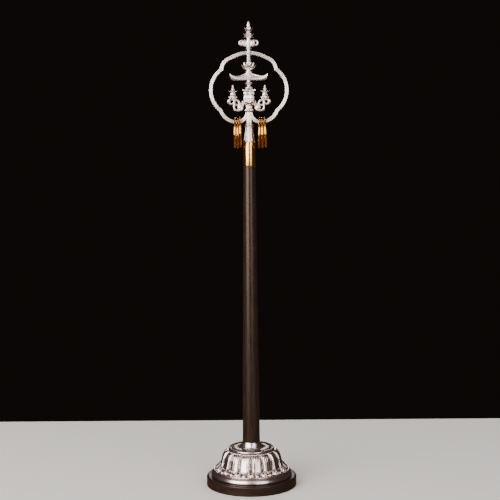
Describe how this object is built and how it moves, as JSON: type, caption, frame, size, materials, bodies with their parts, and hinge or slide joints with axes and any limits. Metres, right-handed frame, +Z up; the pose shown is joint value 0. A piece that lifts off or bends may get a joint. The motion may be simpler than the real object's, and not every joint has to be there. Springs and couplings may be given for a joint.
{
  "type": "buddhist ringed staff",
  "caption": "Table-top ringed staff: tapered dark shaft on a cast lotus stand, with a cloud-shaped openwork head holding loose rings round a small pavilion.",
  "frame": {"origin": "centre of the underside of the wooden disc", "axes": "+Z up the staff, +X to the right of its front, and the front faces -Y"},
  "size_m": [0.0912, 0.0912, 0.4654],
  "materials": {
    "dark_wood": "dark brown lacquered wood, satin",
    "silver_casting": "silver-coloured casting, satin, darker in the hollows",
    "shaft_wood": "dark brown lacquered wood, semi-gloss",
    "polished_brass": "polished",
    "bright_casting": "bright silver-coloured casting, polished on the high places",
    "ring_brass": "polished"
  },
  "bodies": {
    "root": {"base_disc": "dark_wood", "lotus_base": "silver_casting", "shaft": "shaft_wood", "ferrule": "polished_brass", "staff_head": "bright_casting", "ring_left_1": "ring_brass", "ring_left_2": "ring_brass", "ring_left_3": "ring_brass", "ring_right_1": "ring_brass", "ring_right_2": "ring_brass", "ring_right_3": "ring_brass"}
  },
  "joints": []
}
